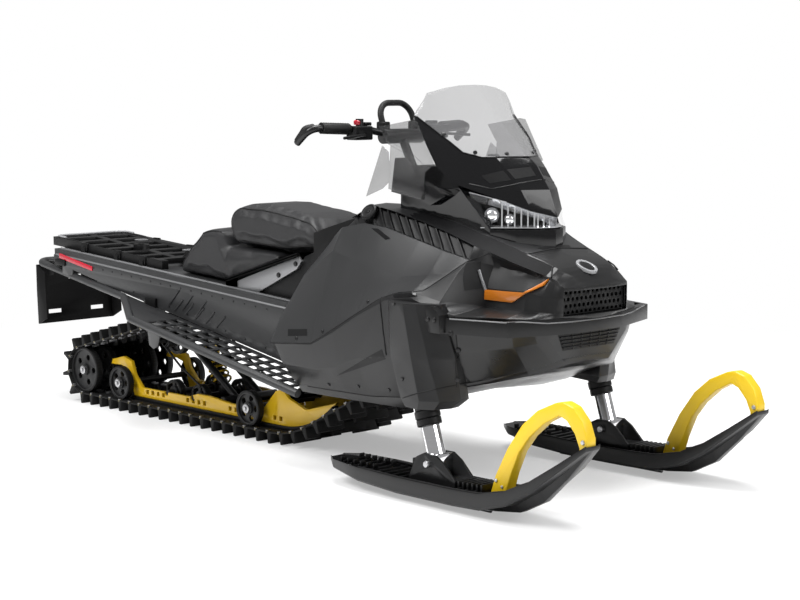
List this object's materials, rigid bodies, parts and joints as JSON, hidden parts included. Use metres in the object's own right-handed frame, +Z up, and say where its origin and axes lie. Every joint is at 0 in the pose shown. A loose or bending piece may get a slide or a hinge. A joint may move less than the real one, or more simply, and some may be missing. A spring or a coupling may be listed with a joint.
{
  "type": "utility snowmobile",
  "caption": "Utility snowmobile with a long lugged drive track, telescopic front struts, steered skis, two-level seat, luggage rack and tall windshield.",
  "frame": {"origin": "on the ground under the middle of the machine", "axes": "+X forward along the machine, +Y to its left, +Z up"},
  "size_m": [3.18, 1.008, 1.268],
  "materials": {
    "charcoal": "satin moulded",
    "black_plastic": "fine grained",
    "gloss_black": "gloss",
    "tunnel_paint": "satin paint",
    "tube_grey": "satin paint",
    "rail_yellow": "satin paint",
    "track_rubber": "matte rubber",
    "wheel_plastic": "matte",
    "steel_dark": "semi-gloss",
    "chrome": "polished",
    "seat_vinyl": "grained vinyl",
    "brace_silver": "brushed",
    "screen": "light smoke",
    "lens_clear": "clear",
    "lens_amber": "gloss",
    "lens_red": "gloss",
    "ski_plastic": "satin",
    "loop_yellow": "satin",
    "grip_rubber": "matte",
    "carbide_steel": "worn"
  },
  "bodies": {
    "root": {"tunnel": "tunnel_paint", "running_boards": "tunnel_paint", "rear_bumper": "tube_grey", "snow_flap": "black_plastic", "tail_lamp": "lens_red", "tail_strips": "lens_red", "cargo_rack": "black_plastic", "seat_lower": "seat_vinyl", "seat_upper": "seat_vinyl", "seat_braces": "brace_silver", "console": "black_plastic", "side_panels": "charcoal", "side_vents": "black_plastic", "lower_panels": "charcoal", "belly_pan": "charcoal", "hood": "charcoal", "nose_cover": "charcoal", "front_grille": "black_plastic", "front_bumper": "steel_dark", "headlamps": "lens_clear", "side_markers": "lens_amber", "gauge_pod": "gloss_black", "windshield": "screen", "wind_deflectors": "screen", "strut_tubes": "black_plastic", "track": "track_rubber", "slide_rails": "rail_yellow", "slide_shoes": "black_plastic", "rear_idlers": "wheel_plastic", "guide_wheels": "wheel_plastic", "suspension_arms": "steel_dark", "shocks": "steel_dark", "drive_axle": "steel_dark", "engine": "steel_dark", "tow_hitch": "steel_dark"},
    "steering": {"handlebar": "steel_dark", "grips": "grip_rubber", "controls": "black_plastic", "grab_strap": "grip_rubber"},
    "ski_left": {"ski_left_blade": "ski_plastic", "ski_left_loop": "loop_yellow", "ski_left_leg": "chrome", "ski_left_saddle": "steel_dark", "ski_left_runner": "carbide_steel"},
    "ski_right": {"ski_right_blade": "ski_plastic", "ski_right_loop": "loop_yellow", "ski_right_leg": "chrome", "ski_right_saddle": "steel_dark", "ski_right_runner": "carbide_steel"}
  },
  "joints": [
    {"name": "handlebar_steer", "type": "hinge", "parent": "root", "child": "steering", "pos_m": [0.392, 0, 1.096], "axis": [-0.4726, 0, 0.8813], "range_deg": [-35, 35]},
    {"name": "ski_left_steer", "type": "hinge", "parent": "root", "child": "ski_left", "pos_m": [0.978, 0.41, 0.12], "axis": [-0.3134, 0, 0.9496], "range_deg": [-31.5, 31.5]},
    {"name": "ski_right_steer", "type": "hinge", "parent": "root", "child": "ski_right", "pos_m": [0.978, -0.41, 0.12], "axis": [-0.3134, 0, 0.9496], "range_deg": [-31.5, 31.5]}
  ],
  "couplings": [
    {"joint": "ski_left_steer", "follows": "handlebar_steer", "ratio": 0.9},
    {"joint": "ski_right_steer", "follows": "handlebar_steer", "ratio": 0.9}
  ]
}
